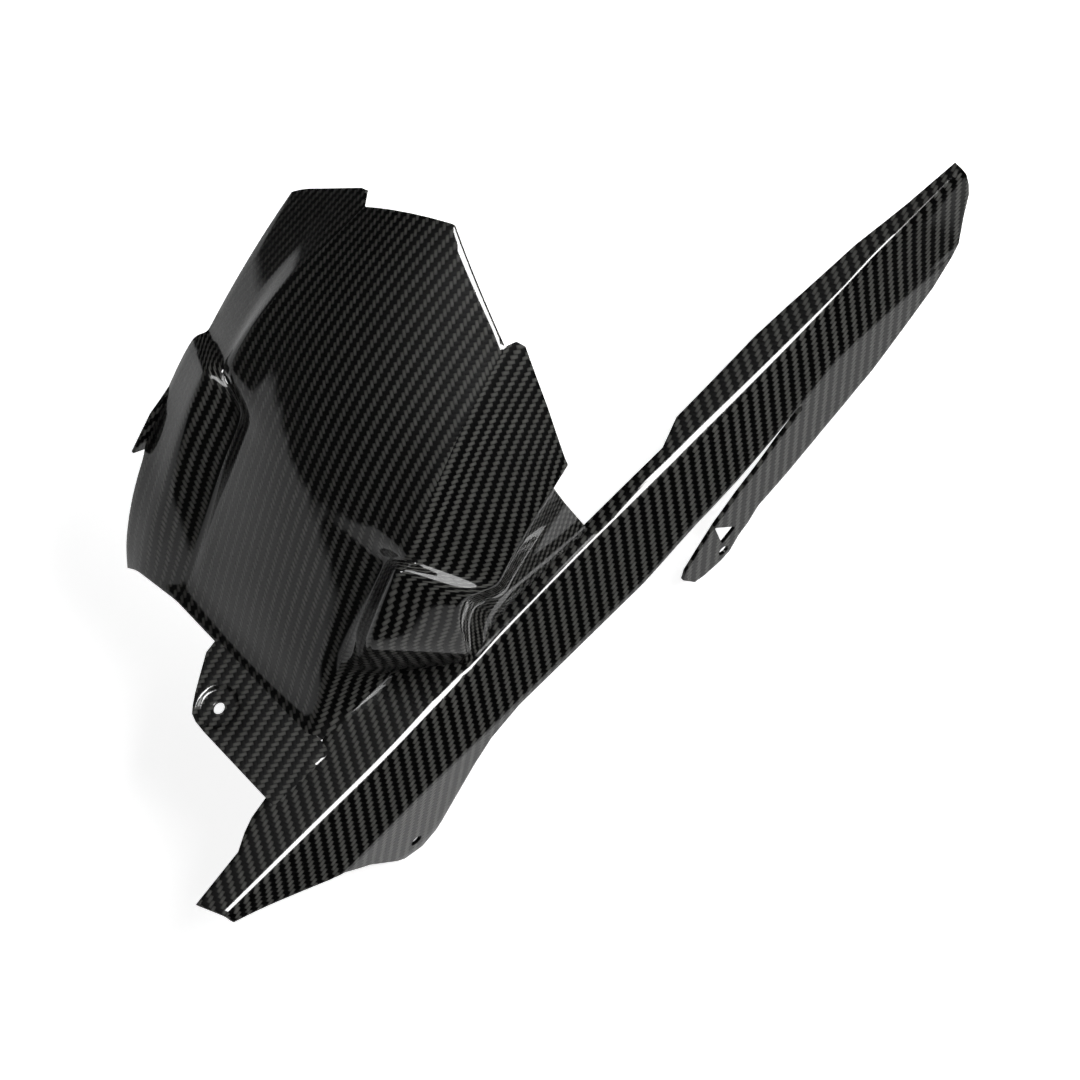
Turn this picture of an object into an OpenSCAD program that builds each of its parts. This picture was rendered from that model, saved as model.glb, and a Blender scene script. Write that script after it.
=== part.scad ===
// Rear hugger mudguard of a motorbike, with the chain guard moulded on its left side.
// It is one thin moulded sheet. +X points forward, +Y to the left, +Z up, as it is
// fitted, and the origin is the middle of the front bolt hole.

/* [Sheet] */
// Thickness of the moulded sheet
sheet_t = 2; // [1.5:0.1:3]

/* [Tyre arc] */
// Distance from the front bolt hole back to the mudguard's front edge
front_gap = 22; // [20:0.5:24]
// Radius of the mudguard about the axle, on its centre line
arc_r = 341; // [338:0.5:344]
// Distance from the front bolt hole right to the middle plane of the wheel
bolt_offset = 7; // [4:0.5:10]

/* [Centre panel] */
// Width of the panel at its rear edge
rear_w = 117; // [108:1:124]
// Width of the panel where the wings begin
mid_w = 152; // [144:1:156]
// How far the point of the rear edge stands behind its two ends
point_l = 25; // [15:1:32]
// Height of the crown at the rear edge
rear_crown = 15; // [8:0.5:18]
// Height of the crown where the wings begin
mid_crown = 8; // [4:0.5:12]

/* [Side panels] */
// Half width out to the edge of the right side panel
right_half_w = 115; // [110:1:120]
// Half width out to the edge of the left side panel
left_half_w = 108; // [106:1:112]
// Drop from the centre panel to the outer edge of the right side panel
right_drop = 24; // [18:1:30]
// Drop from the centre panel to the outer edge of the left side panel
left_drop = 35; // [30:1:40]
// How far the side panels' rear corners stand behind the notch
notch_l = 8; // [4:1:12]

/* [Wings] */
// Angle above the axle, from straight ahead, of the step where the wings begin
step_angle = 51; // [49:0.5:53]
// Half width at the ridge of a wing
ridge_half_w = 81; // [78:0.5:84]
// Height of a wing's ridge over its valley
ridge_rise = 16; // [10:0.5:20]
// Half width of the valley at the step
valley_half_w = 61; // [57:0.5:65]

/* [Chain guard] */
// Distance from the middle plane to the ridge of the chain guard
guard_y = 100; // [96:1:104]
// Height of the ridge over the front bolt
guard_z = 3; // [1:0.5:6]
// How far the outer face leans out from the ridge to its fold
face_lean = 8; // [4:0.5:11]
// Height of the outer face at the front
face_h = 38; // [32:1:44]
// Radius of the rounded ridge
ridge_r = 4; // [2.5:0.5:6]
// How far forward of the front bolt the tip reaches
tip_x = 77; // [70:1:90]
// How far behind the front bolt the tail reaches
tail_x = 461; // [445:1:475]
// Width of the slot between the face and the arm, at its closed end
slot_w = 4; // [3:0.5:6]

/* [Fixings] */
// Diameter of the front bolt hole
front_hole_d = 6.5; // [5.5:0.1:8]
// Diameter of the dimple round the front bolt hole
dimple_d = 25; // [20:0.5:26]
// Depth of the dimple
dimple_h = 1.2; // [0.6:0.1:2]
// Diameter of the bolt hole in the lower lug
lug_hole_d = 7; // [5.5:0.1:8]
// Diameter of the bolt hole in the arm
arm_hole_d = 6.5; // [5.5:0.1:8]

/* [Hidden] */
$fn = 48;
carbon = [0.08, 0.08, 0.09];

// Angles above the axle, from straight ahead: the front edge, the rear notches and the loft's untrimmed end
front_angle = 28.8;
rear_angle = 73;
loft_end = 82;
step_half = 1.8;
under_step = step_angle - step_half;
over_step = step_angle + step_half;

// The front edge flares out from the arc to meet the tab
front_flare = 5;
axle_back = front_gap + (arc_r + front_flare) * cos(front_angle);
axle_drop = (arc_r + front_flare) * sin(front_angle) - sheet_t / 2;
panel_r = arc_r - rear_crown;
wing_r = arc_r - 1;
rear_x = panel_r * cos(rear_angle) - axle_back;

// Radius of the centre panel's crest, which the middle of the sheet follows
crest = [
    [front_angle, arc_r + front_flare], [30, arc_r + 1.8], [31.5, arc_r], [34, arc_r - 1],
    [42, arc_r - 3], [52, arc_r - 1], [60, arc_r]
];

// Drop of the crown from the crest to a point 50 mm to its side
crown_half_w = 50;
crown = [
    [front_angle, 0], [33, 2], [38, 5], [44, 7], [under_step, 8],
    [over_step, mid_crown * 0.75], [60, mid_crown * 0.8], [rear_angle, rear_crown * 0.73], [loft_end, rear_crown * 0.76]
];

// Row, half width, radius and angle past the row, of the crease or valley beside the centre panel
crease = [
    [front_angle, 57, arc_r + front_flare, 0],
    [30, 56, arc_r + 1, 0],
    [32, 56, arc_r - 3, 0],
    [37, 57, arc_r - 9, 0],
    [44, 60, arc_r - 14, 0],
    [under_step, valley_half_w, wing_r - ridge_rise, 0],
    [over_step, mid_w / 2, wing_r - mid_crown, 0],
    [rear_angle, rear_w / 2, panel_r, 0],
    [loft_end, rear_w / 2 - 6, panel_r - 1, 0]
];

// The same for each wing's ridge, which runs on as a line on the side panel
right_ridge = [
    [front_angle, ridge_half_w + 11, arc_r + 5, -1.5],
    [31, ridge_half_w + 7, arc_r + 4, -1],
    [34, ridge_half_w + 3, arc_r + 3, -0.4],
    [38, ridge_half_w, arc_r + 1, 0],
    [under_step, ridge_half_w, wing_r, 2.1],
    [over_step, ridge_half_w + 3, wing_r - 13, 0],
    [rear_angle, rear_w / 2 + 27, panel_r - right_drop / 2, 0],
    [loft_end, rear_w / 2 + 22, panel_r - right_drop / 2, 0]
];
left_ridge = [
    [front_angle, 65, arc_r + 3, 0],
    [29.5, 65, arc_r - 2, 0],
    [32, 62, arc_r - 15, 0],
    [35, 62, arc_r - 21, 0],
    [39, 72, arc_r - 11, 0],
    [44, ridge_half_w, wing_r, 0],
    [under_step, ridge_half_w, wing_r, 2.1],
    [over_step, ridge_half_w + 2, wing_r - 14, 0],
    [rear_angle, rear_w / 2 + 24, panel_r - left_drop / 2, 0],
    [loft_end, rear_w / 2 + 20, panel_r - left_drop / 2, 0]
];

// The same for the outer edge on each side
right_edge = [
    [front_angle, right_half_w - 13, arc_r + 4, -2.9],
    [31, right_half_w - 11, arc_r + 3, -2],
    [34, right_half_w - 10, arc_r + 1, -1],
    [38, right_half_w - 8, arc_r - 4, 0],
    [40.5, right_half_w - 2, arc_r - 10, 0],
    [44, right_half_w - 2, arc_r - 14, 0],
    [under_step, right_half_w - 2, arc_r - 20, 1.3],
    [over_step, right_half_w, arc_r - 8 - right_drop, -1.2],
    [rear_angle, right_half_w, panel_r - right_drop, 0],
    [loft_end, right_half_w - 5, panel_r - right_drop, 0]
];
left_edge = [
    [front_angle, 68, arc_r + 1, 0],
    [29.5, 68, arc_r - 6, 0],
    [32, 66, arc_r - 23, 0],
    [34.5, 66, arc_r - 38, 0],
    [36, 76, arc_r - 48, 0],
    [39.7, 95, arc_r - 58, 0],
    [42, 101, arc_r - 53, 0],
    [under_step, left_half_w - 4, arc_r - 32, 1],
    [over_step, left_half_w, arc_r - 13 - left_drop, 0],
    [rear_angle, left_half_w, panel_r - left_drop, 0],
    [loft_end, left_half_w - 5, panel_r - left_drop, 0]
];

// Row, angle about the axle, half width and height over the front bolt of the foot of the left wall
wall_foot = [
    [front_angle, 26.4, 68, -20],
    [33, 25.9, 67, -30],
    [36, 29, 76, -30],
    [38.5, 34.2, 90, -12],
    [40.5, 38.4, 96, guard_z + 4],
    [49.7, 43, 90, guard_z + 7.5],
    [67, 55, 92, guard_z + 11],
    [loft_end, 67.5, 94, guard_z + 12]
];

function second(table, a) = lookup(a, [for (s = table) [s[0], s[1]]]);
function third(table, a) = lookup(a, [for (s = table) [s[0], s[2]]]);
function fourth(table, a) = lookup(a, [for (s = table) [s[0], s[3]]]);

// A point of the wheel's arc: angle above straight ahead, distance left of the middle plane, radius
function on_arc(a, y, r) = [-axle_back + r * cos(a), y - bolt_offset, -axle_drop + r * sin(a)];

// Height of the chain guard's ridge along its length
ridge_z = [
    [-tail_x, guard_z + 32], [-400, guard_z + 23], [-330, guard_z + 16], [-270, guard_z + 14],
    [-200, guard_z + 13], [-130, guard_z + 9], [-80, guard_z + 3], [-28, guard_z], [tip_x, guard_z]
];
strip_fall = 1;

// One cross-section of the mudguard at a depth below its surface, from its right edge to its wall's foot
crown_steps = 6;
wall_bulge = 3;
function arc_point(table, a, side, depth) =
    on_arc(a + fourth(table, a), side * second(table, a), third(table, a) - depth);
function wall_point(a, f, depth) =
    let (edge = arc_point(left_edge, a, 1, depth * (1 - f)))
    let (foot_x = (fourth(wall_foot, a) + axle_drop) / tan(second(wall_foot, a)) - axle_back)
    let (foot = [foot_x, third(wall_foot, a) - bolt_offset, fourth(wall_foot, a)])
    edge * (1 - f) + foot * f - [0, depth + wall_bulge * sin(180 * f), 0];
function section(a, depth) = concat(
    [arc_point(right_edge, a, -1, depth)],
    [arc_point(right_ridge, a, -1, depth)],
    [arc_point(crease, a, -1, depth)],
    [for (k = [0:crown_steps])
        let (f = 2 * k / crown_steps - 1)
        on_arc(a, f * crown_half_w, lookup(a, crest) - lookup(a, crown) * f * f - depth)],
    [arc_point(crease, a, 1, depth)],
    [arc_point(left_ridge, a, 1, depth)],
    [for (f = [0, 0.5, 1]) wall_point(a, f, depth)]
);

// Angles of the sections, with a pair of them at the step
angles = concat(
    [for (k = [0:9]) front_angle + k * (under_step - front_angle) / 9],
    [for (k = [0:11]) over_step + k * (loft_end - over_step) / 11]
);

// Half width of the chain guard's inner edge along its length
inner_edge = [
    [-tail_x, 98], [-430, 93], [-397, 86.5], [-350, 81.5], [-329, 80], [-271, 81], [-255, 88], [-200, 88],
    [-140, 86],
    [-107, 93], [-88, 74], [-73, 62], [-60, 56], [-40, 60], [-23, 66], [14, 65.5], [26, 68], [34, 71.5],
    [43, 77], [tip_x, 82]
];

// Half width of the chain guard's ridge, which turns out a little at the tail
ridge_y = [[-tail_x, guard_y + 4], [-400, guard_y]];

// Place, half width and height of the fold at the foot of the chain guard's outer face
fold = [
    [-tail_x, guard_y + 4, -26],
    [-430, guard_y + 3, -23],
    [-408, guard_y + 4, -18],
    [-352, guard_y + 6, -11],
    [-330, guard_y + 6, -16],
    [-271, guard_y + face_lean, -24],
    [-243, guard_y + face_lean + 1, -24],
    [-200, guard_y + face_lean + 1, -31],
    [-83, guard_y + face_lean + 1, -31],
    [-35, guard_y + face_lean, guard_z - face_h + 2],
    [10, guard_y + face_lean, guard_z - face_h],
    [tip_x, guard_y + 4, guard_z - face_h]
];

// Lean of the sheet below the fold, to the right for each mm down, and the depth that it is drawn to
under_lean = [[-220, 0.1], [-112, 0.2]];
under_h = 94;

// One cross-section of the chain guard at a depth below its surface, from its inner edge to the foot of its leg
function guard_section(x, depth) =
    let (y = lookup(x, ridge_y) - bolt_offset, z = lookup(x, ridge_z), inner = lookup(x, inner_edge) - bolt_offset)
    let (fold_y = second(fold, x) - bolt_offset, fold_z = third(fold, x))
    [
        [x, inner, z - strip_fall - depth],
        [x, (inner + y) / 2, z - strip_fall / 3 - depth],
        [x, max(y - ridge_r, (inner + 3 * y) / 4), z - depth],
        [x, y - 0.2 * ridge_r - 0.7 * depth, z - 0.3 * ridge_r - 0.7 * depth],
        [x, y + 0.25 * ridge_r - depth, z - 1.3 * ridge_r - 0.2 * depth],
        [x, (y + fold_y) / 2 - depth, (z + fold_z) / 2],
        [x, fold_y - 0.5 - depth, fold_z + 4],
        [x, fold_y - depth, fold_z],
        [x, fold_y - lookup(x, under_lean) * (fold_z + under_h) - depth, -under_h]
    ];
guard_xs = [
    tip_x, 60, 43, 34, 26, 14, 10, -10, -23, -40, -50, -60, -73, -88, -97, -107, -123, -140, -170, -200, -220,
    -243, -255, -263, -272, -300, -330, -352, -380, -408, -430, -tail_x
];

// Turns two grids of points, the outer surface and the inner one, into a closed sheet
module sheet(outer, inner) {
    n = len(outer);
    m = len(outer[0]);
    points = [for (g = [inner, outer]) for (row = g) for (point = row) point];
    size = n * m;
    faces = concat(
        [for (i = [0:n - 2]) for (j = [0:m - 2]) [i * m + j, i * m + j + 1, (i + 1) * m + j + 1]],
        [for (i = [0:n - 2]) for (j = [0:m - 2]) [i * m + j, (i + 1) * m + j + 1, (i + 1) * m + j]],
        [for (i = [0:n - 2]) for (j = [0:m - 2])
            [size + i * m + j, size + (i + 1) * m + j + 1, size + i * m + j + 1]],
        [for (i = [0:n - 2]) for (j = [0:m - 2])
            [size + i * m + j, size + (i + 1) * m + j, size + (i + 1) * m + j + 1]],
        [for (i = [0:n - 2]) [i * m, (i + 1) * m, size + (i + 1) * m, size + i * m]],
        [for (i = [0:n - 2])
            [(i + 1) * m + m - 1, i * m + m - 1, size + i * m + m - 1, size + (i + 1) * m + m - 1]],
        [for (j = [0:m - 2]) [j + 1, j, size + j, size + j + 1]],
        [for (j = [0:m - 2])
            [(n - 1) * m + j, (n - 1) * m + j + 1, size + (n - 1) * m + j + 1, size + (n - 1) * m + j]]
    );
    polyhedron(points = points, faces = faces, convexity = 6);
}

// Cuts everything behind the mudguard's rear edge: the pointed middle, the notches and the side panels
corner_r = 7;
notch_w = 5;
trim_back = 90;
module rear_trim() {
    notch = rear_w / 2;
    far_x = rear_x - trim_back;
    outside = 45;
    translate([0, -bolt_offset, 40]) linear_extrude(axle_drop) polygon([
        [far_x, -right_half_w - outside],
        [rear_x + 33, -right_half_w - outside],
        [rear_x + 20, -right_half_w - 1],
        [rear_x + 14, -right_half_w + corner_r],
        [rear_x - notch_l, -notch - notch_w],
        [rear_x, -notch],
        [rear_x - point_l, 0],
        [rear_x, notch],
        [rear_x - notch_l, notch + notch_w],
        [rear_x + 18, left_half_w],
        [rear_x + 28, left_half_w + 10],
        [far_x, left_half_w + 10]
    ]);
    translate([far_x, left_half_w - bolt_offset - 30, -10]) cube([trim_back + 31, 60, 110]);
}

// Space for the chain under the chain guard's top
channel_front = 40;
channel_low = -80;
module chain_channel() {
    back = rear_x + 25;
    xs = [back, for (row = ridge_z) if (row[0] > back && row[0] < channel_front) row[0], channel_front];
    across(guard_y - 40, guard_y + 5) polygon(concat(
        [[channel_front, channel_low], [back, channel_low]],
        [for (x = xs) [x, lookup(x, ridge_z) - sheet_t]]
    ));
}

module arc_sheet() {
    difference() {
        sheet([for (a = angles) section(a, 0)], [for (a = angles) section(a, sheet_t)]);
        rear_trim();
        chain_channel();
    }
}

// Side outline of the chain guard with its lower lug, its slot and its arm
lug_x = -25;
lug_z = -80;
arm_x = -243;
arm_z = -77;
slot_end_x = -320;
slot_end_z = -22.5;
module side_outline() {
    clear = 70;
    polygon(concat(
        [[tip_x + 1, clear], [tip_x + 1, guard_z - 2], [tip_x - 6, guard_z - 6], [12, guard_z - face_h - 1]],
        [[0, -56], [-10, -83]],
        [for (k = [0:4]) [lug_x, lug_z] + 14 * [cos(20 + k * 30), -sin(20 + k * 30)]],
        [[-42, -86], [-74, -56], [-90, -44], [-112, -37], [-200, -35], [-243, -29], [-271, -28], [-300, -24.5]],
        [for (k = [0:4]) [slot_end_x, slot_end_z] + slot_w / 2 * [-sin(k * 45), cos(k * 45)]],
        [[-300, -30], [-288, -34], [-268, -39.5], [-248, -46.5], [-221, -62.3], [-217, -68]],
        [[-221, -80], [-227, -82.5], [-238, -84], [-245, -83], [-254, -77], [-262, -74.5], [-272, -69], [-295, -67]],
        [[-315, -64], [-342, -58.5], [-362, -53.5], [-393, -42.5], [-413, -35], [-430, -25], [-437, -19]],
        [[-447, -2], [-456, 12], [-tail_x + 2, 20], [-tail_x, 34], [-tail_x, clear]]
    ));
}
module arm_window() {
    polygon([[-247, -49], [-256, -67], [-244.5, -70]]);
}
module across(y0, y1) {
    translate([0, y1 - bolt_offset, 0]) rotate([90, 0, 0]) linear_extrude(y1 - y0) children();
}
module side_bore(x, z, d) {
    translate([x, leg_y(x, z) - bolt_offset, z])
        rotate([-90 - atan(lookup(x, under_lean)), 0, 0]) cylinder(h = 12, d = d, center = true);
}

// Half width of the middle of the sheet below the fold
function leg_y(x, z) = second(fold, x) - lookup(x, under_lean) * (third(fold, x) - z) - sheet_t / 2;

// Slanted cut of the chain guard's tip, seen from above
tip_slant = 8;
module tip_cut() {
    translate([0, -bolt_offset, guard_z - 20]) linear_extrude(40) polygon([
        [tip_x, guard_y - 18],
        [tip_x + 5, guard_y - 18],
        [tip_x + 5, guard_y + 10],
        [tip_x - tip_slant * 28 / 20, guard_y + 10]
    ]);
}

module chain_guard() {
    difference() {
        intersection() {
            sheet([for (x = guard_xs) guard_section(x, 0)], [for (x = guard_xs) guard_section(x, sheet_t)]);
            across(40, 130) side_outline();
        }
        across(90, 120) arm_window();
        side_bore(lug_x, lug_z, lug_hole_d);
        side_bore(arm_x, arm_z, arm_hole_d);
        tip_cut();
    }
}

// Plate for the front bolt, with a pressed seat for the bolt's washer
module front_tab() {
    difference() {
        union() {
            translate([0, -bolt_offset, dimple_h - sheet_t / 2]) linear_extrude(sheet_t) polygon([
                [-30, -24], [-15, -21.5], [3, -9], [8.5, -4.5], [12, -1], [13.5, 4], [14, 12], [14, 70], [-26, 70]
            ]);
            translate([0, 0, -sheet_t / 2]) cylinder(h = sheet_t, d = dimple_d);
        }
        translate([0, 0, sheet_t / 2]) cylinder(h = 10, d = dimple_d - 2);
        cylinder(h = 20, d = front_hole_d, center = true);
    }
}

// Pointed flange that turns down behind the right wing
flange_angle = 44;
module flange() {
    corner = arc_point(right_edge, flange_angle, -1, 0);
    translate([corner[0], corner[1] + 1, corner[2]]) rotate([90, 0, 0]) linear_extrude(sheet_t, center = true)
        polygon([[-20, 13], [-10, 6.5], [1, 2], [10, -1], [31, -15], [24, -21], [0, -14], [-18, 0]]);
}

module hugger() {
    color(carbon) union() {
        arc_sheet();
        chain_guard();
        front_tab();
        flange();
    }
}

hugger();
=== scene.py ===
import math
import bmesh
import bpy
from mathutils import Matrix, Vector


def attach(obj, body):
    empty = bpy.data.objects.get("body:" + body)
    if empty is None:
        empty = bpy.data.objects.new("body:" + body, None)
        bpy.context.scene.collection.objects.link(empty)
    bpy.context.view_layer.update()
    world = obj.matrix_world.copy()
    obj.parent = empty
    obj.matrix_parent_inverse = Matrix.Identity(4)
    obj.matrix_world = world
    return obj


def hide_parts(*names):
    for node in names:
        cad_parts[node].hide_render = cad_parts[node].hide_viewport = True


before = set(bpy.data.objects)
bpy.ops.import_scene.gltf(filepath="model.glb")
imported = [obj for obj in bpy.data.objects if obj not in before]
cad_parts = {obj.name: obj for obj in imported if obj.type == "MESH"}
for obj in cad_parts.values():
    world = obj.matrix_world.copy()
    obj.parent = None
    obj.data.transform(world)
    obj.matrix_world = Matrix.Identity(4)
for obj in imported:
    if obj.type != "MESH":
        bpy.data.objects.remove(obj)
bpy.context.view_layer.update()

mm = 0.001


def smoothRead(table, x, col=1):  # reads a table of rows with a rounded curve that never overshoots
    rows = sorted(table)
    if x <= rows[0][0]:
        return rows[0][col]
    if x >= rows[-1][0]:
        return rows[-1][col]
    slopes = [(b[col] - a[col]) / (b[0] - a[0]) for a, b in zip(rows, rows[1:])]
    k = max(i for i in range(len(slopes)) if rows[i][0] <= x)

    def bend(i):
        if i == 0 or i == len(slopes):
            return slopes[min(i, len(slopes) - 1)]
        a, b = slopes[i - 1], slopes[i]
        return 0 if a * b <= 0 else 2 * a * b / (a + b)
    h = rows[k + 1][0] - rows[k][0]
    t = (x - rows[k][0]) / h
    return ((1 + 2 * t) * (1 - t) ** 2 * rows[k][col] + t * (1 - t) ** 2 * h * bend(k)
            + t * t * (3 - 2 * t) * rows[k + 1][col] + t * t * (t - 1) * h * bend(k + 1))


def lineRead(table, x, col=1):  # the same with straight stretches
    rows = sorted(table)
    x = min(max(x, rows[0][0]), rows[-1][0])
    for a, b in zip(rows, rows[1:]):
        if x <= b[0]:
            return a[col] + (b[col] - a[col]) * (x - a[0]) / (b[0] - a[0])


def spread(a, b, n):
    return [a + (b - a) * k / n for k in range(n + 1)]


def roundedLine(points, reach, cuts, arcs=5):  # a polyline in space with its inner corners rounded
    out = [points[0]]
    for k in range(1, len(points)):
        a, b = points[k - 1], points[k]
        length = max((b - a).length, 1e-6)
        start = a + (b - a) * min(reach[k - 1] / length, 0.48) if k > 1 else a
        end = b - (b - a) * min(reach[k] / length, 0.48) if k < len(points) - 1 else b
        out += [start + (end - start) * i / cuts[k - 1] for i in range(1, cuts[k - 1] + 1)]
        if k < len(points) - 1:
            c = points[k + 1]
            after = b + (c - b) * min(reach[k] / max((c - b).length, 1e-6), 0.48)
            out += [end * (1 - t) ** 2 + b * 2 * t * (1 - t) + after * t * t for t in spread(0, 1, arcs)[1:]]
    return out


def gridMesh(name, rows, inside, uvAt):  # rows of points in mm to a mesh in metres that knows its inner side
    mesh = bpy.data.meshes.new(name)
    n, m = len(rows), len(rows[0])
    faces = [(i * m + j, i * m + j + 1, (i + 1) * m + j + 1, (i + 1) * m + j)
             for i in range(n - 1) for j in range(m - 1)]
    mesh.from_pydata([p * mm for row in rows for p in row], [], faces)
    layer = mesh.uv_layers.new(name="cloth")
    for k, face in enumerate(mesh.polygons):
        i, j = divmod(k, m - 1)
        for loop in face.loop_indices:
            v = mesh.loops[loop].vertex_index
            layer.data[loop].uv = uvAt(v // m, v % m, i, j)
    inner = mesh.attributes.new("inside", "FLOAT_VECTOR", "POINT")
    inner.data.foreach_set("vector", [c * mm for row in inside for p in row for c in p])
    return mesh


def addObject(name, mesh):
    obj = bpy.data.objects.new(name, mesh)
    bpy.context.scene.collection.objects.link(obj)
    return obj


def cleanMesh(mesh, outward, merge=0.00002):  # merges doubles and turns the sheet's faces outwards
    bm = bmesh.new()
    bm.from_mesh(mesh)
    bmesh.ops.remove_doubles(bm, verts=bm.verts, dist=merge)
    bmesh.ops.dissolve_degenerate(bm, dist=0.00001, edges=bm.edges)
    bmesh.ops.recalc_face_normals(bm, faces=bm.faces)
    top = max(bm.faces, key=lambda f: f.calc_area())
    if top.normal.dot(outward(top.calc_center_median())) < 0:
        bmesh.ops.reverse_faces(bm, faces=bm.faces)
    bm.to_mesh(mesh)
    bm.free()


def bake(obj):  # applies the modifiers and leaves a plain mesh
    graph = bpy.context.evaluated_depsgraph_get()
    mesh = bpy.data.meshes.new_from_object(obj.evaluated_get(graph))
    obj.modifiers.clear()
    obj.data = mesh


def thicken(obj, easing=0.5):  # closes the moulded sheet with its inner side and eases its cut edges
    bm = bmesh.new()
    bm.from_mesh(obj.data)
    inside = bm.verts.layers.float_vector["inside"]
    cloth = bm.loops.layers.uv["cloth"]
    outer = list(bm.faces)
    rim = [edge for edge in bm.edges if len(edge.link_faces) == 1]
    twin = {v: bm.verts.new(v[inside]) for v in list(bm.verts)}

    def addFace(corners):
        face = bm.faces.new([v for v, uv in corners])
        for loop, (v, uv) in zip(face.loops, corners):
            loop[cloth].uv = uv
    for face in outer:
        addFace([(twin[loop.vert], loop[cloth].uv.copy()) for loop in reversed(face.loops)])
    for edge in rim:
        loop = edge.link_loops[0]
        a, b = loop, loop.link_loop_next
        uvA, uvB = a[cloth].uv.copy(), b[cloth].uv.copy()
        addFace([(b.vert, uvB), (a.vert, uvA), (twin[a.vert], uvA), (twin[b.vert], uvB)])
    bm.to_mesh(obj.data)
    bm.free()
    obj.data.attributes.remove(obj.data.attributes["inside"])
    easeEdges(obj, easing, 60)


def easeEdges(obj, width, angle):
    bevel = obj.modifiers.new("easedEdge", "BEVEL")
    bevel.width = width * mm
    bevel.segments = 2
    bevel.limit_method = "ANGLE"
    bevel.angle_limit = math.radians(angle)
    bake(obj)


def cutAway(obj, cutter):
    cut = obj.modifiers.new("cut", "BOOLEAN")
    cut.operation = "DIFFERENCE"
    cut.solver = "EXACT"
    cut.object = cutter
    bake(obj)
    bpy.data.objects.remove(cutter)


def prism(name, points, direction, length):  # points in mm on one plane, pushed along a direction
    mesh = bpy.data.meshes.new(name)
    low = [Vector(p) * mm for p in points]
    high = [p + Vector(direction) * length * mm for p in low]
    n = len(points)
    faces = [tuple(range(n)), tuple(range(2 * n - 1, n - 1, -1))]
    faces += [(k, n + k, n + (k + 1) % n, (k + 1) % n) for k in range(n)]
    mesh.from_pydata(low + high, [], faces)
    obj = addObject(name, mesh)
    bm = bmesh.new()
    bm.from_mesh(mesh)
    bmesh.ops.recalc_face_normals(bm, faces=bm.faces)
    bm.to_mesh(mesh)
    bm.free()
    return obj


def smoothShade(obj, angle=25):  # smooth, with a crisp line where the faces turn by more than the angle
    obj.data.polygons.foreach_set("use_smooth", [True] * len(obj.data.polygons))
    bm = bmesh.new()
    bm.from_mesh(obj.data)
    for edge in bm.edges:
        edge.smooth = len(edge.link_faces) == 2 and edge.calc_face_angle(0) < math.radians(angle)
    bm.to_mesh(obj.data)
    bm.free()


# a long lens from the left and above, as the photograph was taken
cameraPart = {"target": (-177.5, 78.3, 30.1), "toCamera": (0.0144, 0.5027, 0.8643),
              "down": (0.696, 0.6156, -0.3697), "distance": 4500, "pxPerMm": 1.975, "imagePx": 1080}
toCamera = Vector(cameraPart["toCamera"]).normalized()
upAxis = -Vector(cameraPart["down"])
upAxis = (upAxis - toCamera * upAxis.dot(toCamera)).normalized()
rightAxis = upAxis.cross(toCamera)
lens = bpy.data.cameras.new("camera")
lens.sensor_width = 36
lens.lens = 36 * cameraPart["distance"] / (cameraPart["imagePx"] / cameraPart["pxPerMm"])
lens.clip_end = 50
camera = addObject("camera", lens)
place = Vector(cameraPart["target"]) + toCamera * cameraPart["distance"]
axes = [rightAxis, upAxis, toCamera]
turned = [[axis[r] for axis in axes] + [place[r] * mm] for r in range(3)]
camera.matrix_world = Matrix(turned + [[0, 0, 0, 1]])
bpy.context.scene.camera = camera
bpy.context.scene.view_settings.view_transform = "Standard"
print("camera made")

# the moulded sheet and the twill cloth in it
sheetPart = {"thick": 2.0, "tow": 2.25}


def clothAt(along, across, turn, hand=1):  # millimetres on a panel to counts of tows, first the tows painted with the fibres' sheen
    c, s = math.cos(math.radians(turn)), math.sin(math.radians(turn))
    p = (along * c + across * s) / sheetPart["tow"]
    q = (-along * s + across * c) / sheetPart["tow"]
    return (p, q) if hand > 0 else (q, p)


# mudguard: a table's rows start with an angle above the axle, and its cloth runs at 45 degrees to its length
archPart = {"gap": 22, "radius": 341, "flare": 5, "boltOffset": 7, "front": 28.8, "step": 51, "stepHalf": 1.8,
            "end": 82, "rear": 73}
channelPart = {"behind": 25, "front": 40, "bottom": -80, "side": 53, "width": 45, "below": 2,
               "at": (-200, -130, -80, -28)}  # what the chain guard's inner side leaves open in the arch
arcR, frontAt, lastAt = archPart["radius"], archPart["front"], archPart["end"]
stepLow, stepHigh = archPart["step"] - archPart["stepHalf"], archPart["step"] + archPart["stepHalf"]
axleBack = archPart["gap"] + (arcR + archPart["flare"]) * math.cos(math.radians(frontAt))
axleDrop = (arcR + archPart["flare"]) * math.sin(math.radians(frontAt)) - sheetPart["thick"] / 2
panelR, wingR = arcR - 15, arcR - 1
rearX = panelR * math.cos(math.radians(archPart["rear"])) - axleBack
# crest and crown rows go on with the radius of the middle line and the drop to both sides of it
crest = [(frontAt, arcR + 5), (30, arcR + 1.8), (31.5, arcR), (34, arcR - 1), (42, arcR - 3), (52, arcR - 1),
         (60, arcR), (90, arcR)]
crown = [(frontAt, 0), (33, 2), (38, 5), (44, 7), (stepLow, 8), (stepHigh, 6), (60, 6.4), (73, 11),
         (82, 11.4)]
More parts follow.
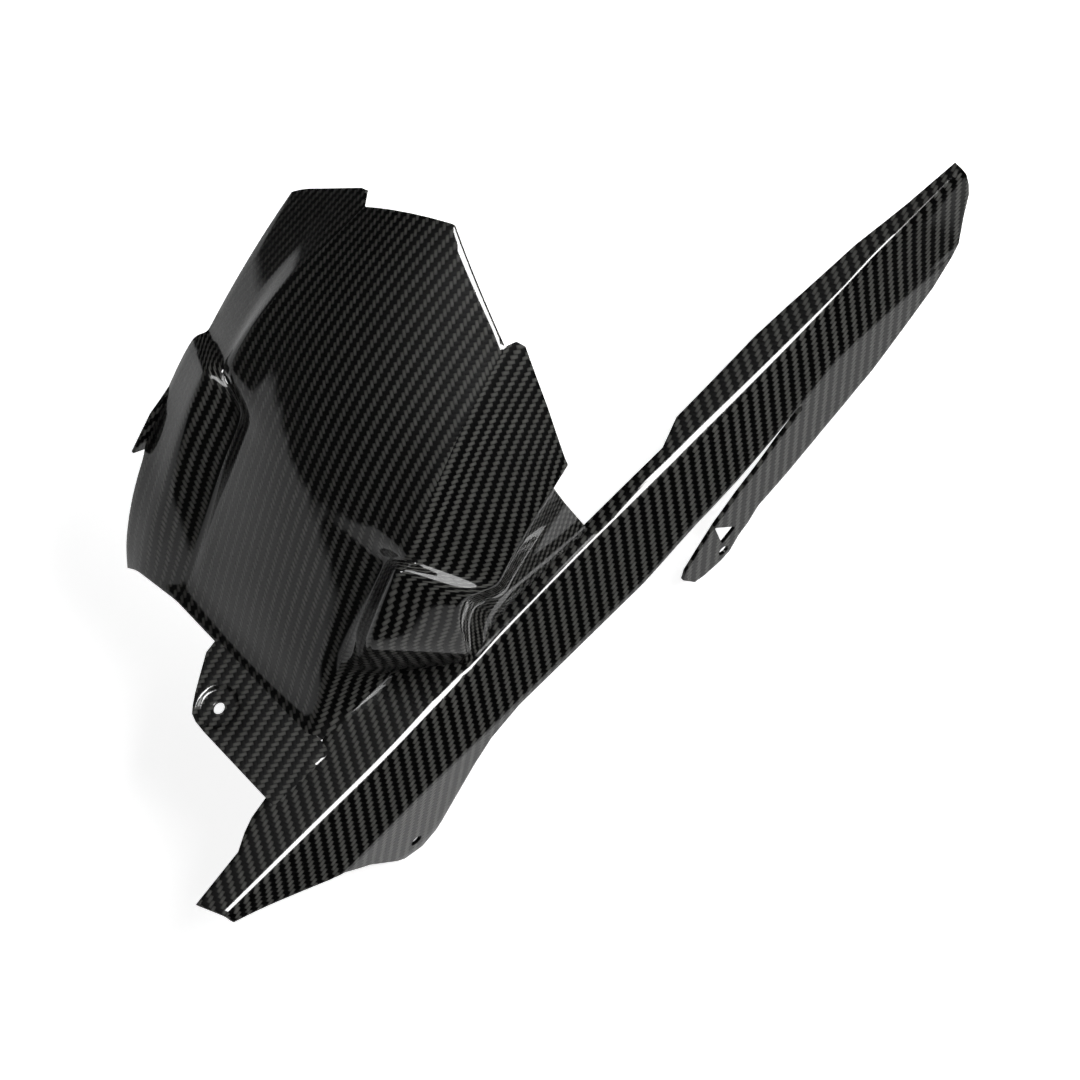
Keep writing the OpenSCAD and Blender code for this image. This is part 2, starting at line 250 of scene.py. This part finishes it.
# the next five tables' rows go on with a half width, a radius and an angle past the row
crease = [(frontAt, 57, arcR + 5, 0), (30, 56, arcR + 1, 0), (32, 56, arcR - 3, 0), (37, 57, arcR - 9, 0),
          (44, 60, arcR - 14, 0), (stepLow, 61, wingR - 16, 0), (stepHigh, 76, wingR - 8, 0),
          (73, 58.5, panelR, 0), (lastAt, 52.5, panelR - 1, 0)]
rightRidge = [(frontAt, 92, arcR + 5, -1.5), (31, 88, arcR + 4, -1), (34, 84, arcR + 3, -0.4),
              (38, 81, arcR + 1, 0), (stepLow, 81, wingR, 2.1), (stepHigh, 84, wingR - 13, 0),
              (73, 85.5, panelR - 12, 0), (lastAt, 80.5, panelR - 12, 0)]
leftRidge = [(frontAt, 65, arcR + 3, 0), (29.5, 65, arcR - 2, 0), (32, 62, arcR - 15, 0),
             (35, 62, arcR - 21, 0), (39, 72, arcR - 11, 0), (44, 81, wingR, 0), (stepLow, 81, wingR, 2.1),
             (stepHigh, 83, wingR - 14, 0), (73, 82.5, panelR - 17.5, 0), (lastAt, 78.5, panelR - 17.5, 0)]
rightEdge = [(frontAt, 102, arcR + 4, -2.9), (31, 104, arcR + 3, -2), (34, 105, arcR + 1, -1),
             (38, 107, arcR - 4, 0), (40.5, 113, arcR - 10, 0), (44, 113, arcR - 14, 0),
             (stepLow, 113, arcR - 20, 1.3), (stepHigh, 115, arcR - 32, -1.2), (73, 115, panelR - 24, 0),
             (lastAt, 110, panelR - 24, 0)]
leftEdge = [(frontAt, 68, arcR + 1, 0), (29.5, 68, arcR - 6, 0), (32, 66, arcR - 23, 0),
            (34.5, 66, arcR - 38, 0), (36, 76, arcR - 48, 0), (39.7, 95, arcR - 58, 0),
            (42, 101, arcR - 53, 0), (stepLow, 104, arcR - 32, 1), (stepHigh, 108, arcR - 48, 0),
            (73, 108, panelR - 35, 0), (lastAt, 103, panelR - 35, 0)]
# angle of the row, angle of the foot, half width and height of the left wall's foot
wallFoot = [(frontAt, 26.4, 68, -20), (33, 25.9, 67, -30), (36, 29, 76, -30), (38.5, 34.2, 90, -12),
            (40.5, 38.4, 96, 7), (49.7, 43, 90, 10.5), (67, 55, 92, 14), (lastAt, 67.5, 94, 15)]
# how far each corner of a section is rounded, and the steps between and round them
archColumns = {"reach": [0, 5, 4] + [3] * 9 + [4, 5, 3, 8, 0], "cuts": [5, 5, 5] + [2] * 8 + [5, 5, 5, 4, 4],
               "arcs": 5}
# the rear edge seen from above: a place across and how far back the sheet goes there
rearLine = [(-160, rearX + 33), (-116, rearX + 20), (-108, rearX + 14), (-66, rearX - 8), (-58.5, rearX),
            (0, rearX - 25), (58.5, rearX), (62, rearX - 9), (108, rearX + 18), (118, rearX + 28)]


def onArc(a, y, r):
    c, s = math.cos(math.radians(a)), math.sin(math.radians(a))
    return Vector((-axleBack + r * c, y - archPart["boltOffset"], -axleDrop + r * s))


def tableOnArc(table, a, side, depth):
    return onArc(a + smoothRead(table, a, 3), side * smoothRead(table, a), smoothRead(table, a, 2) - depth)


def archSection(a, depth):  # from the right edge over the crown to the left edge and the left wall's foot
    top, drop = smoothRead(crest, a) - depth, smoothRead(crown, a)
    control = [tableOnArc(table, a, -1, depth) for table in (rightEdge, rightRidge, crease)]
    control += [onArc(a, 50 * f, top - drop * f * f) for f in spread(-1, 1, 8)]
    control += [tableOnArc(table, a, 1, depth) for table in (crease, leftRidge)]
    edge, lower = tableOnArc(leftEdge, a, 1, depth), tableOnArc(leftEdge, a, 1, depth / 2)
    inward = Vector((0, depth, 0))
    footZ = smoothRead(wallFoot, a, 3)
    footX = (footZ + axleDrop) / math.tan(math.radians(smoothRead(wallFoot, a))) - axleBack
    foot = Vector((footX, smoothRead(wallFoot, a, 2) - archPart["boltOffset"], footZ))
    control += [edge - inward, (lower + foot) / 2 - Vector((0, 3, 0)) - inward, foot - inward]
    return roundedLine(control, archColumns["reach"], archColumns["cuts"], archColumns["arcs"])


def columnOf(corner):  # column of a section where the rounding of a control point has its middle
    return sum(archColumns["cuts"][:corner]) + archColumns["arcs"] * (corner - 1) + 3


def archRows():
    angles = spread(frontAt, 32, 9) + spread(32, stepLow, 26)[1:] + spread(stepLow, stepHigh, 8)[1:]
    angles += spread(stepHigh, lastAt, 44)[1:]
    rows = [archSection(a, 0) for a in angles]
    inner = [archSection(a, sheetPart["thick"]) for a in angles]
    wall = columnOf(14)
    ends = []
    for j in range(len(rows[0])):  # each lengthwise line of the sheet ends on the cut line of the rear edge
        low, high = 50.0, lastAt
        for _ in range(30):
            mid = (low + high) / 2
            p = columnAt(rows, angles, j, mid)
            limit = rearX + 31 if j > wall else lineRead(rearLine, p.y + archPart["boltOffset"])
            low, high = (mid, high) if limit < p.x else (low, mid)
        ends.append(high)

    def trimTurn(a, end):  # behind the step, the rows are drawn together to end on the cut line
        return a if a <= stepHigh else stepHigh + (a - stepHigh) / (lastAt - stepHigh) * (end - stepHigh)
    turns = [[trimTurn(a, end) for end in ends] for a in angles]

    def trimmed(grid):
        return [[columnAt(grid, angles, j, a) for j, a in enumerate(row)] for row in turns]
    return trimmed(rows), trimmed(inner), turns


def columnAt(rows, angles, j, a):
    a = min(max(a, angles[0]), angles[-1])
    k = min(max(i for i in range(len(angles)) if angles[i] <= a + 1e-9), len(angles) - 2)
    t = (a - angles[k]) / (angles[k + 1] - angles[k])
    return rows[k][j].lerp(rows[k + 1][j], t)


def makeArch():
    rows, inner, turns = archRows()
    widths = []
    for row in rows:
        run = [0.0]
        for a, b in zip(row, row[1:]):
            run.append(run[-1] + (b - a).length)
        widths.append(run)
    rightCrease, middle, leftCrease = columnOf(2), columnOf(7), columnOf(12)

    def uvAt(i, j, fi, fj):
        along = math.radians(turns[i][j]) * arcR
        if fj < rightCrease:
            return clothAt(along, widths[i][j] - widths[i][rightCrease], 45)
        if fj < leftCrease:
            return clothAt(along, widths[i][j] - widths[i][middle], 45)
        return clothAt(along, widths[i][j] - widths[i][leftCrease], 45, -1)
    obj = addObject("arch", gridMesh("arch", rows, inner, uvAt))
    cleanMesh(obj.data, lambda p: Vector((p.x + axleBack * mm, 0, p.z + axleDrop * mm)))
    thicken(obj)
    back, front, bottom = rearX + channelPart["behind"], channelPart["front"], channelPart["bottom"]
    roof = [(x, lineRead(ridgeZ, x) - channelPart["below"]) for x in (back, *channelPart["at"], front)]
    corners = [(x, channelPart["side"], z) for x, z in [(back, bottom)] + roof + [(front, bottom)]]
    cutAway(obj, prism("channel", corners, (0, 1, 0), channelPart["width"]))
    return obj


# chain guard: tables along its length, then its outline seen from the left
chainPart = {"z": 3, "tip": 77, "tail": -461, "slotEnd": -322, "slotEndZ": -22.5, "armEnd": -217,
             "bores": [(-25, -80, 7.0), (-243, -77, 6.5)],
             "window": [(-247, -49), (-256, -67), (-244.5, -70)],
             "ridgeDrop": 5.5, "ridgeTurn": 83, "slantFrom": 43, "slantY": 82, "slant": 0.4,
             "clothTurn": -19.7, "clothZ": 93}
ridgeZ = [(-461, 35), (-400, 26), (-330, 19), (-270, 17), (-200, 16), (-130, 12), (-80, 6), (-28, 3), (77, 3)]
ridgeY = [(-461, 104), (-400, 100)]
ridgeRound = [(-461, 1.2), (-390, 1.5), (-340, 4), (-220, 8), (-130, 8), (-60, 5), (77, 4)]
legLean = [(-220, 0.1), (-112, 0.2)]
innerY = [(-461, 98), (-430, 93), (-397, 86.5), (-350, 81.5), (-329, 80), (-271, 81), (-255, 88), (-200, 88),
          (-140, 86), (-107, 93), (-88, 74), (-73, 62), (-60, 56), (-40, 60), (-23, 66), (14, 65.5), (26, 68),
          (34, 71.5), (43, 77), (77, 82)]
fold = [(-461, 104, -26), (-430, 103, -23), (-408, 104, -18), (-352, 106, -11), (-330, 106, -16),
        (-271, 108, -24), (-243, 109, -24), (-200, 109, -31), (-83, 109, -31), (-35, 108, -33),
        (10, 108, -35), (77, 104, -35)]
slotTop = [(-322, -22.5), (-320, -20.7), (-300, -24.5), (-271, -28), (-243, -29), (-200, -35), (-112, -37),
           (-90, -44), (-74, -56), (-42, -86), (-36, -90.5), (-25, -93.6), (-14, -88), (-10.5, -82), (0, -56),
           (12, -36), (43, -18.7), (77, -4.6)]
slotLow = [(-322, -22.5), (-320, -24.3), (-300, -30), (-288, -34), (-268, -39.5), (-248, -46.5),
           (-221, -62.3), (-217, -68)]
armLow = [(-461, 34), (-459, 20), (-456, 12), (-447, -2), (-437, -19), (-430, -25), (-413, -35),
          (-393, -42.5), (-362, -53.5), (-342, -58.5), (-315, -64), (-295, -67), (-272, -69), (-262, -74.5),
          (-254, -77), (-245, -83), (-238, -84), (-227, -82.5), (-221, -80), (-217, -68)]


def faceY(x, z):  # how far out the guard's outer face stands at a height
    foldY, foldZ, top = smoothRead(fold, x), smoothRead(fold, x, 2), smoothRead(ridgeZ, x)
    up, lean = (lineRead(ridgeY, x) + 1 - foldY) / (top - 5 - foldZ), lineRead(legLean, x)
    t = z - foldZ
    if t > 4:
        return foldY + up * t
    if t < -4:
        return foldY + lean * t
    f = (t + 4) / 8
    return foldY + lean * t * (1 - f) + up * t * f - 1.2 * f * (1 - f)


def guardSection(x, low, depth):
    top, inner, ridge = smoothRead(ridgeZ, x), lineRead(innerY, x), lineRead(ridgeY, x)
    r = min(lineRead(ridgeRound, x), ridge - inner - 1)
    points = [Vector((x, y, top - 1 + (y - inner) / (ridge - inner) - depth))
              for y in spread(inner, ridge + 0.5 - r, 6)]
    start, corner = Vector((x, ridge + 0.5 - r, top - r / (ridge - inner))), Vector((x, ridge + 0.2, top))
    shoulder = top - chainPart["ridgeDrop"]
    end = Vector((x, faceY(x, shoulder), shoulder))
    for t in spread(0, 1, 8)[1:]:
        turn = t * math.radians(chainPart["ridgeTurn"])
        points.append(start * (1 - t) ** 2 + corner * 2 * t * (1 - t) + end * t * t
                      - Vector((0, math.sin(turn), math.cos(turn))) * depth)
    foldZ = smoothRead(fold, x, 2)
    marks = [shoulder, foldZ + 5, foldZ - 5, low]
    for k in range(1, 4):
        marks[k] = min(max(marks[k], low), marks[k - 1])
    for a, b, n in zip(marks, marks[1:], (8, 6, 8)):
        points += [Vector((x, faceY(x, z) - depth, z)) for z in spread(a, b, n)[1:]]
    slantFrom, tip = chainPart["slantFrom"], chainPart["tip"]
    slant = chainPart["slant"] * max(0, (x - slantFrom) / (tip - slantFrom))  # of the tip, seen from above
    slantY, offset = chainPart["slantY"], archPart["boltOffset"]
    return [p - Vector((slant * max(0, p.y - slantY), offset, 0)) for p in points]


def splitAt(x):  # height where the guard's body ends and its arm begins
    if x > chainPart["slotEnd"]:
        return lineRead(slotTop, x)
    return max(chainPart["slotEndZ"], lineRead(armLow, x))


def armSection(x, depth):
    high = lineRead(slotLow, x) if x > chainPart["slotEnd"] else splitAt(x)
    return [Vector((x, faceY(x, z) - archPart["boltOffset"] - depth, z))
            for z in spread(high, lineRead(armLow, x), 12)]


def makeGuard():
    stops = sorted({row[0] for table in (innerY, slotTop, slotLow, armLow) for row in table})
    xs = []
    for a, b in zip(stops, stops[1:]):
        xs += spread(a, b, max(1, round((b - a) / 5)))[:-1]
    xs = sorted(set(xs + [stops[-1]]), reverse=True)
    depths = (0, sheetPart["thick"])
    body = [[guardSection(x, splitAt(x), depth) for x in xs] for depth in depths]
    arm = [[armSection(x, depth) for x in xs if x <= chainPart["armEnd"]] for depth in depths]

    def faceCloth(p):
        return clothAt(-p.x, chainPart["clothZ"] + lineRead(ridgeZ, p.x) - p.z, chainPart["clothTurn"], -1)

    def bodyCloth(i, j, fi, fj):  # the cloth runs level over the top strip, then down the outer face
        p = body[0][i][j]
        return clothAt(-p.x, p.y, chainPart["clothTurn"], -1) if fj < 10 else faceCloth(p)

    def armCloth(i, j, fi, fj):
        return faceCloth(arm[0][i][j])
    obj = addObject("guard", gridMesh("guard", *body, bodyCloth))
    joinInto(obj, [addObject("arm", gridMesh("arm", *arm, armCloth))])
    cleanMesh(obj.data, lambda p: Vector((0, 1, 0.3)), 0.00005)
    thicken(obj)
    for x, z, d in chainPart["bores"]:
        lean = math.atan(lineRead(legLean, x))
        out = Vector((0, math.cos(lean), -math.sin(lean)))
        down = Vector((0, -math.sin(lean), -math.cos(lean)))
        middle = Vector((x, faceY(x, z) - archPart["boltOffset"] - 1, z)) + out * 8
        ring = [middle + Vector((d / 2 * math.cos(t), 0, 0)) + down * d / 2 * math.sin(t)
                for t in spread(0, 2 * math.pi, 48)[:-1]]
        cutAway(obj, prism("bore", ring, -out, 16))
    corners = [Vector((x, 110, z)) for x, z in chainPart["window"]]
    middle = (corners[-1] + corners[0]) / 2
    rounded = roundedLine([middle] + corners + [middle], [0, 2, 2, 2, 0], [1, 1, 1, 1], 4)[:-1]
    cutAway(obj, prism("window", rounded, (0, -1, 0), 30))
    return obj


def joinInto(obj, others):
    for o in bpy.context.selected_objects:
        o.select_set(False)
    for o in [obj] + others:
        o.select_set(True)
    bpy.context.view_layer.objects.active = obj
    bpy.ops.object.join()


# front tab with its washer seat
tabPart = {"bore": 6.5, "dimple": 25, "slope": 2.5, "depth": 1.2, "clothTurn": 60}
tabLine = [(-30, -24), (-15, -21.5), (3, -9), (8.5, -4.5), (12, -1), (13.5, 4), (14, 12), (14, 80), (-26, 80)]


def makeTab():
    outline = []
    for a, b in zip(tabLine, tabLine[1:] + tabLine[:1]):
        n = max(1, round(math.dist(a, b) / 3))
        outline += [(a[0] + (b[0] - a[0]) * k / n, a[1] + (b[1] - a[1]) * k / n - archPart["boltOffset"])
                    for k in range(n)]
    rows = []
    rim, bore = tabPart["dimple"] / 2, tabPart["bore"] / 2
    seat = rim - tabPart["slope"]
    for x, y in outline + outline[:1]:
        far = math.hypot(x, y)
        ux, uy = x / far, y / far
        row = [Vector((ux * r, uy * r, 1)) for r in spread(bore, seat, 3)]
        for t in spread(0, 1, 6)[1:]:
            r = min(seat + (rim - seat) * t, far)
            row.append(Vector((ux * r, uy * r, 1 + tabPart["depth"] * (3 * t * t - 2 * t ** 3))))
        row += [Vector((ux * r, uy * r, 1 + tabPart["depth"])) for r in spread(min(rim, far), far, 4)[1:]]
        rows.append(row)
    inner = [[p - Vector((0, 0, sheetPart["thick"])) for p in row] for row in rows]

    def tabCloth(i, j, fi, fj):
        return clothAt(rows[i][j].x, rows[i][j].y, tabPart["clothTurn"])
    obj = addObject("tab", gridMesh("tab", rows, inner, tabCloth))
    cleanMesh(obj.data, lambda p: Vector((0, 0, 1)))
    thicken(obj, 0.35)
    return obj


flangePart = {"at": 44,
              "line": [(-20, 13), (-10, 6.5), (1, 2), (10, -1), (31, -15), (24, -21), (0, -14), (-18, 0)]}


def makeFlange():  # pointed flange that turns down behind the right wing
    corner = tableOnArc(rightEdge, flangePart["at"], -1, 0) + Vector((0, 2, 0))
    obj = prism("flange", [corner + Vector((x, 0, z)) for x, z in flangePart["line"]], (0, -2, 0), 1)
    layer = obj.data.uv_layers.new(name="cloth")
    for loop in obj.data.loops:
        p = obj.data.vertices[loop.vertex_index].co / mm
        layer.data[loop.index].uv = clothAt(p.x, p.z, 45)
    easeEdges(obj, 0.5, 30)
    return obj


arch = makeArch()
print("arch made", len(arch.data.polygons))
chain = makeGuard()
print("chain guard made", len(chain.data.polygons))
tab = makeTab()
flange = makeFlange()
for part in (arch, chain, flange):
    smoothShade(part)
smoothShade(tab, 20)  # its eased edges stay crisp, so that the flat plate mirrors as a flat
joinInto(arch, [chain, tab, flange])
arch.name = "huggerSheet"
print("tab and flange made, sheets joined", len(arch.data.polygons))


def srgb(hexCode):
    parts = [int(hexCode[k:k + 2], 16) / 255 for k in (1, 3, 5)]
    return tuple(c / 12.92 if c <= 0.04045 else ((c + 0.055) / 1.055) ** 2.4 for c in parts) + (1.0,)


def addNode(tree, kind, settings=None, links=None):
    node = tree.nodes.new(kind)
    for key, value in (settings or {}).items():
        if isinstance(key, str) and hasattr(node, key):
            setattr(node, key, value)
        else:
            node.inputs[key].default_value = value
    for key, source in (links or {}).items():
        tree.links.new(source, node.inputs[key])
    return node


def maths(tree, what, a, b=0.0, c=0.0):
    node = tree.nodes.new("ShaderNodeMath")
    node.operation = what
    for k, value in enumerate((a, b, c)):
        if isinstance(value, (int, float)):
            node.inputs[k].default_value = value
        else:
            tree.links.new(value, node.inputs[k])
    return node.outputs[0]


# the bright and dark tow colours are one black fibre, painted once with its sheen and once in shade
carbonPart = {"sheenedTow": "#5a5a57", "shadedTow": "#050505", "gap": "#020202", "rough": 0.45, "sheen": 0.03,
              "coat": 0.65, "coatRough": 0.03, "coatIor": 1.5, "relief": 0.35, "reliefDepth": 0.25,
              "fibres": 14.0, "fibreStretch": 0.6, "fibreContrast": 0.5, "toneContrast": 0.2,
              "toneRun": 20,
              "towRound": 0.45, "diveRound": 0.35}


def makeCarbon():
    # 3K carbon cloth, 2/2 twill, under a polished clear coat: bright floats on near black,
    # with a mirror on top; the bright floats are the fibres' sheen painted into the colour, the near black
    # floats their painted shade
    mat = bpy.data.materials.new("clearCoatedTwillCarbon")
    mat.use_nodes = True
    tree = mat.node_tree
    shader = tree.nodes["Principled BSDF"]
    uv = addNode(tree, "ShaderNodeUVMap", {"uv_map": "cloth"})
    split = addNode(tree, "ShaderNodeSeparateXYZ", links={0: uv.outputs[0]})
    p, q = split.outputs[0], split.outputs[1]
    iCell, jCell = maths(tree, "FLOOR", p), maths(tree, "FLOOR", q)
    turn = maths(tree, "FLOORED_MODULO", maths(tree, "ADD", iCell, jCell), 4.0)
    over = maths(tree, "LESS_THAN", turn, 1.5)  # two over, two under, one step on each row
    pf, qf = maths(tree, "FRACT", p), maths(tree, "FRACT", q)
    # height of a tow across its width, and its fade where it dives at the ends of its float; it drives the
    # bump and also the painted shade at the tow's edges and dives
    acrossBright = maths(tree, "SINE", maths(tree, "MULTIPLY", pf, math.pi))
    acrossDark = maths(tree, "SINE", maths(tree, "MULTIPLY", qf, math.pi))
    across = addNode(tree, "ShaderNodeMix", {"data_type": "FLOAT"}, {0: over})
    tree.links.new(acrossDark, across.inputs[2])
    tree.links.new(acrossBright, across.inputs[3])
    # place along the float, nought to one over its two tows
    floatStep = addNode(tree, "ShaderNodeMix", {"data_type": "FLOAT"}, {0: over})
    alongBright = maths(tree, "ADD", turn, qf)
    alongDark = maths(tree, "ADD", maths(tree, "SUBTRACT", turn, 2.0), pf)
    tree.links.new(alongDark, floatStep.inputs[2])
    tree.links.new(alongBright, floatStep.inputs[3])
    along = maths(tree, "SINE", maths(tree, "MULTIPLY", floatStep.outputs[0], math.pi / 2))
    height = maths(tree, "MULTIPLY", maths(tree, "POWER", across.outputs[0], carbonPart["towRound"]),
                   maths(tree, "POWER", maths(tree, "MAXIMUM", along, 0.0), carbonPart["diveRound"]))
    # streaks along each tow, drawn far coarser than its 3000 fibres so that they show
    acrossTow = maths(tree, "MULTIPLY", p, carbonPart["fibres"])
    alongTow = maths(tree, "MULTIPLY", q, carbonPart["fibreStretch"])
    streaks = addNode(tree, "ShaderNodeCombineXYZ", links={0: acrossTow, 1: alongTow})
    fibre = addNode(tree, "ShaderNodeTexNoise", {"Scale": 1.0, "Detail": 2.0}, {"Vector": streaks.outputs[0]})
    # a tow keeps its tone over a run of crossings
    towLength = maths(tree, "FLOOR", maths(tree, "MULTIPLY", q, 1 / carbonPart["toneRun"]))
    cellId = addNode(tree, "ShaderNodeCombineXYZ", links={0: iCell, 1: towLength})
    tone = addNode(tree, "ShaderNodeTexWhiteNoise", {"noise_dimensions": "2D"}, {"Vector": cellId.outputs[0]})
    fibreTone, towTone = carbonPart["fibreContrast"], carbonPart["toneContrast"]
    brightness = maths(tree, "MULTIPLY_ADD", fibre.outputs[0], fibreTone, 1 - fibreTone / 2)
    brightness = maths(tree, "MULTIPLY", brightness,
                       maths(tree, "MULTIPLY_ADD", tone.outputs[0], towTone, 1 - towTone / 2))
    # painted sheen: the floats running one way get the bright colour, the others the near black painted shade
    base = addNode(tree, "ShaderNodeMix", {"data_type": "RGBA"}, {0: over})
    base.inputs[6].default_value = srgb(carbonPart["shadedTow"])
    base.inputs[7].default_value = srgb(carbonPart["sheenedTow"])
    # painted shade: towards a tow's edges and where it dives, its colour goes to the near black gap colour
    shaded = addNode(tree, "ShaderNodeMix", {"data_type": "RGBA"}, {0: height})
    shaded.inputs[6].default_value = srgb(carbonPart["gap"])
    tree.links.new(base.outputs[2], shaded.inputs[7])
    final = addNode(tree, "ShaderNodeMix", {"data_type": "RGBA", "blend_type": "MULTIPLY", 0: 1.0})
    grey = addNode(tree, "ShaderNodeCombineColor", links={0: brightness, 1: brightness, 2: brightness})
    tree.links.new(shaded.outputs[2], final.inputs[6])
    tree.links.new(grey.outputs[0], final.inputs[7])
    tree.links.new(final.outputs[2], shader.inputs["Base Color"])
    bump = addNode(tree, "ShaderNodeBump", {"Strength": carbonPart["relief"],
                                            "Distance": carbonPart["reliefDepth"] * mm}, {"Height": height})
    tree.links.new(bump.outputs[0], shader.inputs["Normal"])
    shader.inputs["Roughness"].default_value = carbonPart["rough"]
    shader.inputs["Specular IOR Level"].default_value = carbonPart["sheen"]
    shader.inputs["Coat Weight"].default_value = carbonPart["coat"]
    shader.inputs["Coat Roughness"].default_value = carbonPart["coatRough"]
    shader.inputs["Coat IOR"].default_value = carbonPart["coatIor"]
    return mat


carbon = makeCarbon()
arch.data.materials.clear()
arch.data.materials.append(carbon)
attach(arch, "root")
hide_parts("hugger")
print("carbon made")

floorPart = {"glow": 0.9, "below": 94.5, "x": (-2500, 2500), "y": (-2500, 2500), "colour": "#f4f4f4"}


def makeFloor():
    (x0, x1), (y0, y1), z = floorPart["x"], floorPart["y"], -floorPart["below"]
    mesh = bpy.data.meshes.new("floor")
    corners = ((x0, y0, z), (x1, y0, z), (x1, y1, z), (x0, y1, z))
    mesh.from_pydata([Vector(v) * mm for v in corners], [], [(0, 1, 2, 3)])
    obj = addObject("floor", mesh)
    mat = bpy.data.materials.new("whitePaperFloor")
    mat.use_nodes = True
    tree = mat.node_tree
    tree.nodes.clear()
    out = addNode(tree, "ShaderNodeOutputMaterial")
    paper = addNode(tree, "ShaderNodeBsdfDiffuse", {"Color": srgb(floorPart["colour"])})
    glow = addNode(tree, "ShaderNodeEmission", {"Color": (1, 1, 1, 1), "Strength": floorPart["glow"]})
    path = addNode(tree, "ShaderNodeLightPath")
    seen = maths(tree, "MAXIMUM", path.outputs["Is Camera Ray"], path.outputs["Is Glossy Ray"])
    seen = maths(tree, "MAXIMUM", seen, path.outputs["Is Transmission Ray"])
    none = addNode(tree, "ShaderNodeEmission", {"Strength": 0.0})
    pick = addNode(tree, "ShaderNodeMixShader", {}, {0: seen, 1: none.outputs[0], 2: glow.outputs[0]})
    both = addNode(tree, "ShaderNodeAddShader", {}, {0: paper.outputs[0], 1: pick.outputs[0]})
    tree.links.new(both.outputs[0], out.inputs[0])
    mesh.materials.append(mat)
    obj.visible_glossy = False  # the part mirrors the cloth in the world below instead


worldPart = {"dome": 0.012, "cloth": 0.75, "facing": (0.57, -0.28, -0.77), "from": 0.51, "to": 0.55,
             "wave": 0.08, "folds": 4.0}


def makeWorld():
    # a dark studio with a white cloth in front of the part and below it, and plain white for the camera
    world = bpy.data.worlds.new("studio")
    bpy.context.scene.world = world
    world.use_nodes = True
    tree = world.node_tree
    tree.nodes.clear()
    out = addNode(tree, "ShaderNodeOutputWorld")
    path = addNode(tree, "ShaderNodeLightPath")
    where = addNode(tree, "ShaderNodeTexCoord")
    facing = addNode(tree, "ShaderNodeVectorMath", {"operation": "DOT_PRODUCT", 1: worldPart["facing"]},
                     {0: where.outputs["Generated"]})
    folds = addNode(tree, "ShaderNodeTexNoise", {"Scale": worldPart["folds"], "Detail": 1.0},
                    {"Vector": where.outputs["Generated"]})
    wavy = maths(tree, "MULTIPLY_ADD", folds.outputs[0], worldPart["wave"], facing.outputs["Value"])
    shift = worldPart["wave"] / 2
    reach = addNode(tree, "ShaderNodeMapRange", {"From Min": worldPart["from"] + shift,
                                                 "From Max": worldPart["to"] + shift,
                                                 "To Min": worldPart["dome"],
                                                 "To Max": worldPart["cloth"]}, {"Value": wavy})
    studio = addNode(tree, "ShaderNodeBackground", {"Color": (1, 1, 1, 1)}, {"Strength": reach.outputs[0]})
    white = addNode(tree, "ShaderNodeBackground", {"Color": (1, 1, 1, 1), "Strength": 1.0})
    pick = addNode(tree, "ShaderNodeMixShader", {}, {0: path.outputs["Is Camera Ray"], 1: studio.outputs[0],
                                                     2: white.outputs[0]})
    tree.links.new(pick.outputs[0], out.inputs[0])


lampPart = {
    "keySoftbox": {"place": (-1240, 1300, 1550), "aim": (-200, 0, 0), "size": (1100, 1100), "power": 44,
                   "diffuse": True},
    "ridgeStrip": {"place": (-30, 130, 1510), "aim": (-30, 100, 10), "size": (600, 1300), "power": 100,
                   "diffuse": False},  # only mirrored, as the white line on the chain guard's ridge
}


def addLamp(name, place, target, size, power, diffuse):
    data = bpy.data.lights.new(name, "AREA")
    data.shape = "RECTANGLE"
    data.size, data.size_y = size[0] * mm, size[1] * mm
    data.energy = power
    lamp = addObject(name, data)
    lamp.location = Vector(place) * mm
    lamp.rotation_euler = (Vector(target) - Vector(place)).to_track_quat("-Z", "Y").to_euler()
    lamp.visible_diffuse = diffuse


makeFloor()
makeWorld()
for name, lamp in lampPart.items():
    addLamp(name, lamp["place"], lamp["aim"], lamp["size"], lamp["power"], lamp["diffuse"])
print("floor and light made")
